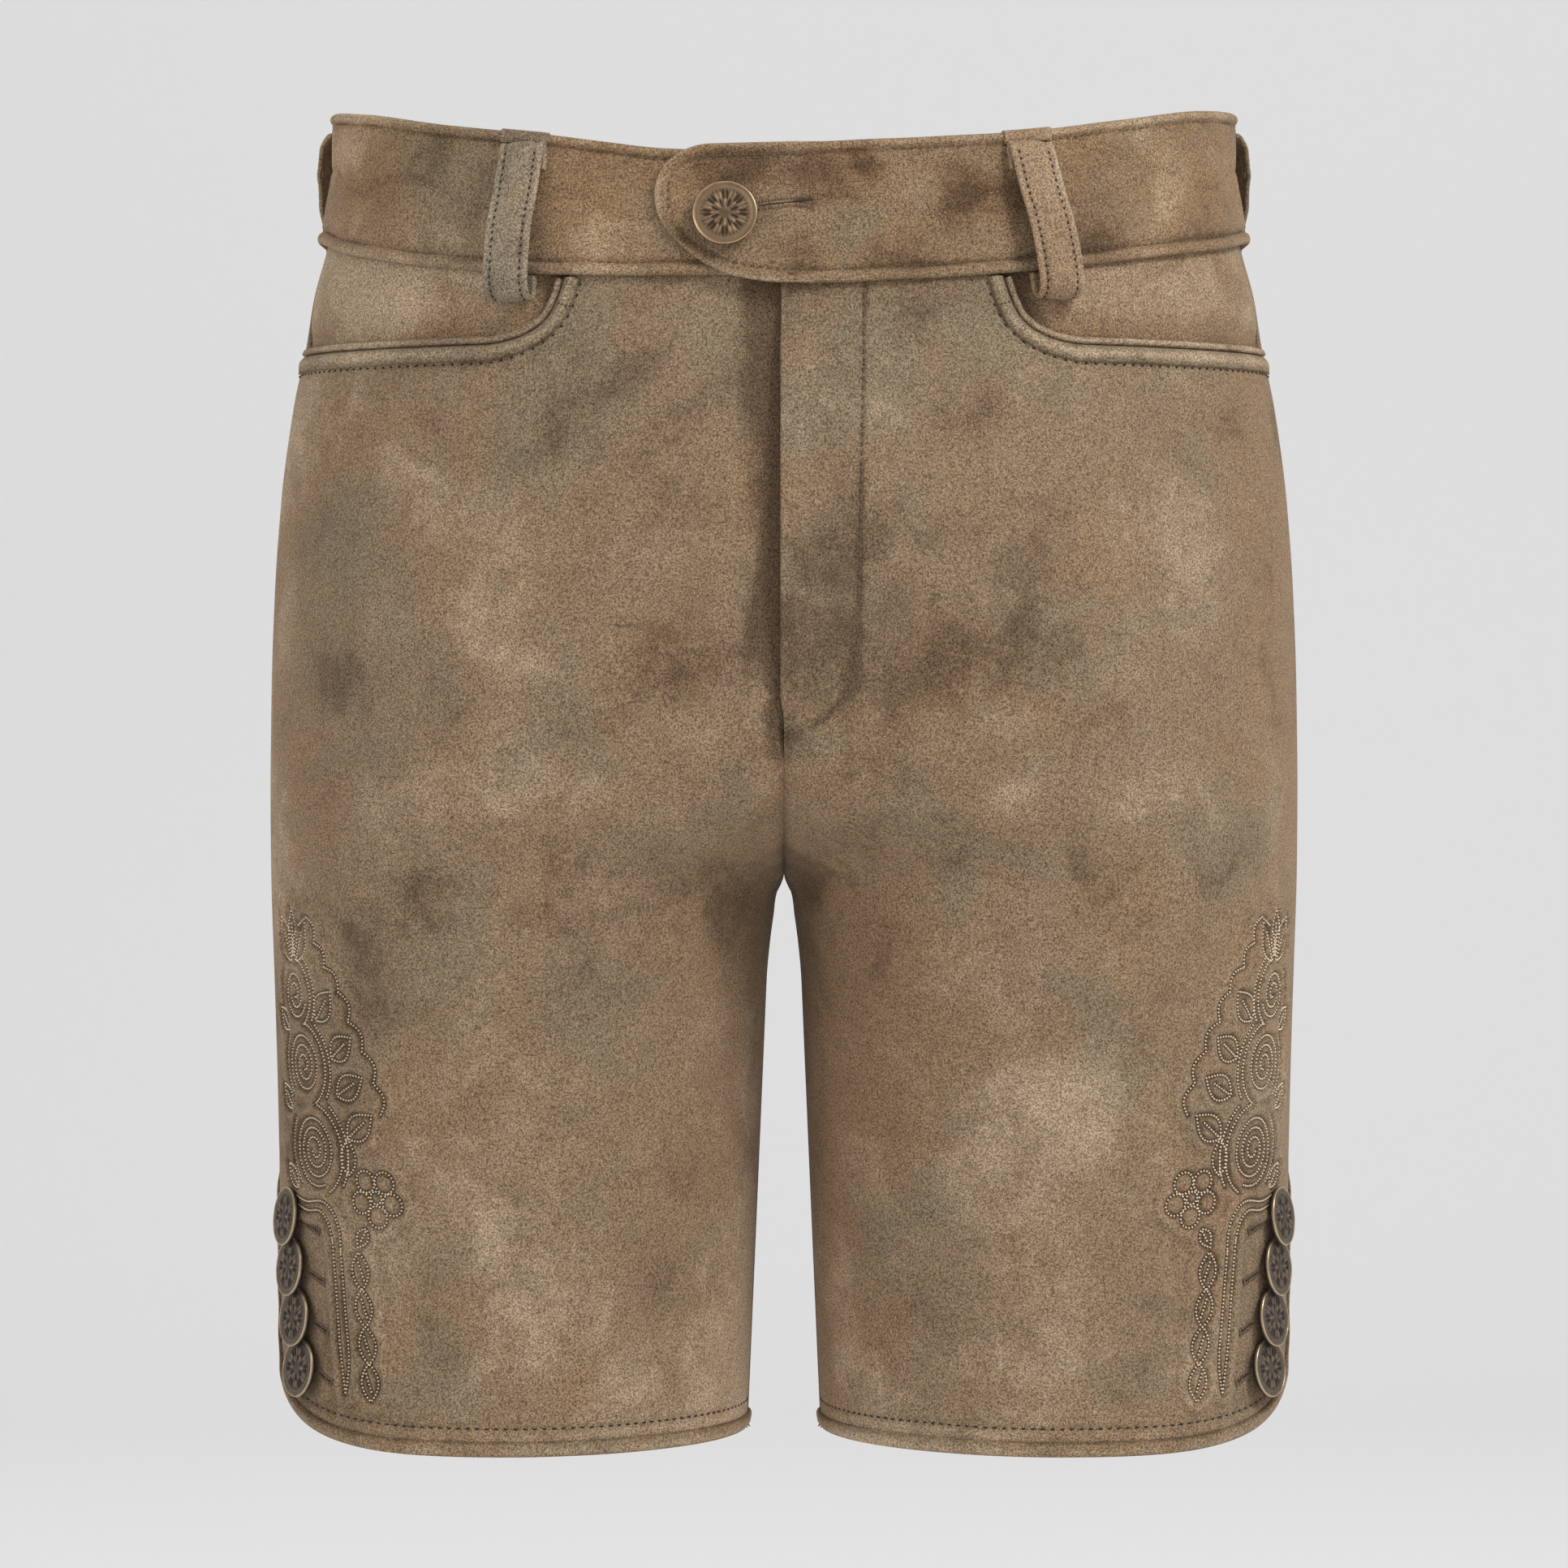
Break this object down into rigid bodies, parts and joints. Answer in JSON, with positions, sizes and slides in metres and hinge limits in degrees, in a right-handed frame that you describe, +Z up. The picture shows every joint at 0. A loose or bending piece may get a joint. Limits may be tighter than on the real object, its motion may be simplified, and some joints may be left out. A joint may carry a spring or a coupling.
{
  "type": "lederhosen",
  "caption": "Short suede lederhosen with waistband, buttoned tab, slanted belt loops, curved pockets and side vents closed with brass buttons.",
  "frame": {"origin": "middle of the waist opening, half way up the waistband at the sides, where the wearer holds the garment", "axes": "+Z up, -Y is the front, +X is the wearer's left"},
  "size_m": [0.3956, 0.2744, 0.5092],
  "materials": {
    "suede": "worn goat suede, brown-taupe",
    "antique_brass": "antique, dark in the hollows"
  },
  "bodies": {
    "root": {"back_left": "suede", "back_right": "suede", "belt_loop_back": "suede", "belt_loop_front_left": "suede", "belt_loop_front_right": "suede", "belt_loop_side_left": "suede", "belt_loop_side_right": "suede", "front_left": "suede", "front_right": "suede", "hem_binding_left": "suede", "hem_binding_right": "suede", "pocket_facing_left": "suede", "pocket_facing_right": "suede", "pocket_piping_left": "suede", "pocket_piping_right": "suede", "pocket_welt_left": "suede", "pocket_welt_right": "suede", "vent_button_left_1": "antique_brass", "vent_button_left_2": "antique_brass", "vent_button_left_3": "antique_brass", "vent_button_left_4": "antique_brass", "vent_button_right_1": "antique_brass", "vent_button_right_2": "antique_brass", "vent_button_right_3": "antique_brass", "vent_button_right_4": "antique_brass", "vent_underlap_left": "suede", "vent_underlap_right": "suede", "waist_button": "antique_brass", "waistband_left": "suede", "waistband_right": "suede"}
  },
  "joints": []
}
